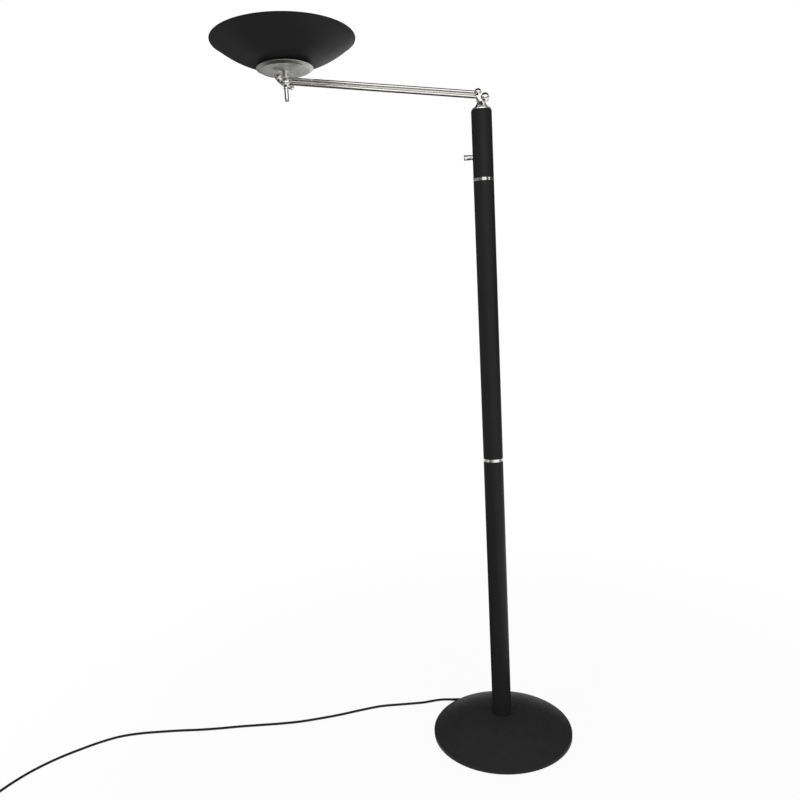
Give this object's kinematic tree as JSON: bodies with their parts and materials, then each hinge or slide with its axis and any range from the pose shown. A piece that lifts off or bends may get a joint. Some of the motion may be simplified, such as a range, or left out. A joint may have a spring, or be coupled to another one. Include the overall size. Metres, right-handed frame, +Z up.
{
  "type": "swing arm floor lamp",
  "caption": "Floor uplighter with a weighted round foot, a jointed column with a dimmer knob, and a parallel-rod swing arm that keeps its bowl level.",
  "frame": {"origin": "on the column's axis, in the plane of the felt underside that rests on the floor", "axes": "+Z up along the column, the arm runs towards -X, +Y to the back, away from the viewer"},
  "size_m": [1.5666, 0.6303, 1.8217],
  "materials": {
    "black_paint": "satin",
    "nickel": "satin",
    "polished_nickel": "polished",
    "satin_aluminium": "satin",
    "bright_aluminium": "polished",
    "joiner_alloy": "machined",
    "zinc_steel": "plated",
    "iron": "as cast",
    "felt": "matte",
    "black_rubber": "matte",
    "black_plastic": "satin",
    "tie_plastic": "matte",
    "pin_metal": "nickel plated",
    "ceramic": "glazed",
    "lamp_quartz": "clear",
    "guard_pane": "clear",
    "wire_sleeve": "matte"
  },
  "bodies": {
    "column": {"floor_felt": "felt", "base_weight": "iron", "base_cover": "black_paint", "tie_washer": "zinc_steel", "tie_nut": "zinc_steel", "tie_stud": "zinc_steel", "strain_relief": "black_rubber", "foot_plug": "zinc_steel", "lower_tube": "black_paint", "lower_joiner": "joiner_alloy", "lower_ring": "nickel", "middle_tube": "black_paint", "upper_joiner": "joiner_alloy", "upper_ring": "nickel", "top_tube": "black_paint", "column_cable": "black_rubber", "dimmer_case": "black_plastic", "dimmer_nut": "nickel", "swivel_bush": "black_plastic", "bush_screws": "zinc_steel", "mains_cord": "black_rubber", "cord_coil": "black_rubber", "cord_tie": "tie_plastic", "plug_body": "black_plastic", "plug_pins": "pin_metal"},
    "dimmer_control": {"dimmer_shaft": "zinc_steel", "dimmer_knob": "nickel"},
    "swivel": {"arm_yoke": "nickel", "spindle": "zinc_steel", "stop_washer": "zinc_steel", "spindle_nut": "zinc_steel", "spindle_cable": "black_rubber", "yoke_pins": "polished_nickel", "yoke_caps": "polished_nickel"},
    "upper_arm": {"upper_rod": "nickel", "upper_rod_ends": "nickel", "arm_cable": "black_rubber"},
    "lower_arm": {"lower_rod": "nickel", "lower_rod_ends": "nickel"},
    "head": {"head_fork": "nickel", "head_pins": "polished_nickel", "head_cap": "polished_nickel", "handle_collar": "nickel", "handle": "nickel", "head_nipple": "zinc_steel", "head_plate": "satin_aluminium", "bowl": "black_paint", "bowl_nut": "zinc_steel", "bracket_spacers": "zinc_steel", "lamp_bracket": "zinc_steel", "bracket_screws": "zinc_steel", "trough_reflector": "bright_aluminium", "lamp_holders": "ceramic", "lamp_glass": "lamp_quartz", "lamp_caps": "ceramic", "guard_glass": "guard_pane", "glass_clips": "zinc_steel", "terminal_block": "ceramic", "head_wires": "wire_sleeve"},
    "lock": {"lock_lever": "polished_nickel"}
  },
  "joints": [
    {"name": "swing", "type": "hinge", "parent": "column", "child": "swivel", "pos_m": [0, 0, 1.6], "axis": [0, 0, 1], "range_deg": [-160, 160]},
    {"name": "lift", "type": "hinge", "parent": "swivel", "child": "upper_arm", "pos_m": [-0.0065, 0, 1.6578], "axis": [0, 1, 0], "range_deg": [-16.5, 0]},
    {"name": "lower_lift", "type": "hinge", "parent": "swivel", "child": "lower_arm", "pos_m": [0.0095, 0, 1.6453], "axis": [0, 1, 0], "range_deg": [-16.5, 0]},
    {"name": "head_level", "type": "hinge", "parent": "upper_arm", "child": "head", "pos_m": [-0.49432, 0, 1.73245], "axis": [0, 1, 0], "range_deg": [0, 16.5]},
    {"name": "lock_turn", "type": "hinge", "parent": "head", "child": "lock", "pos_m": [-0.47832, 0, 1.71995], "axis": [0, 1, 0], "range_deg": [-270, 0]},
    {"name": "dimmer_turn", "type": "hinge", "parent": "column", "child": "dimmer_control", "pos_m": [-0.03, 0, 1.508], "axis": [-1, 0, 0], "range_deg": [0, 270]}
  ],
  "couplings": [
    {"joint": "lower_lift", "follows": "lift", "ratio": 1},
    {"joint": "head_level", "follows": "lift", "ratio": -1}
  ]
}
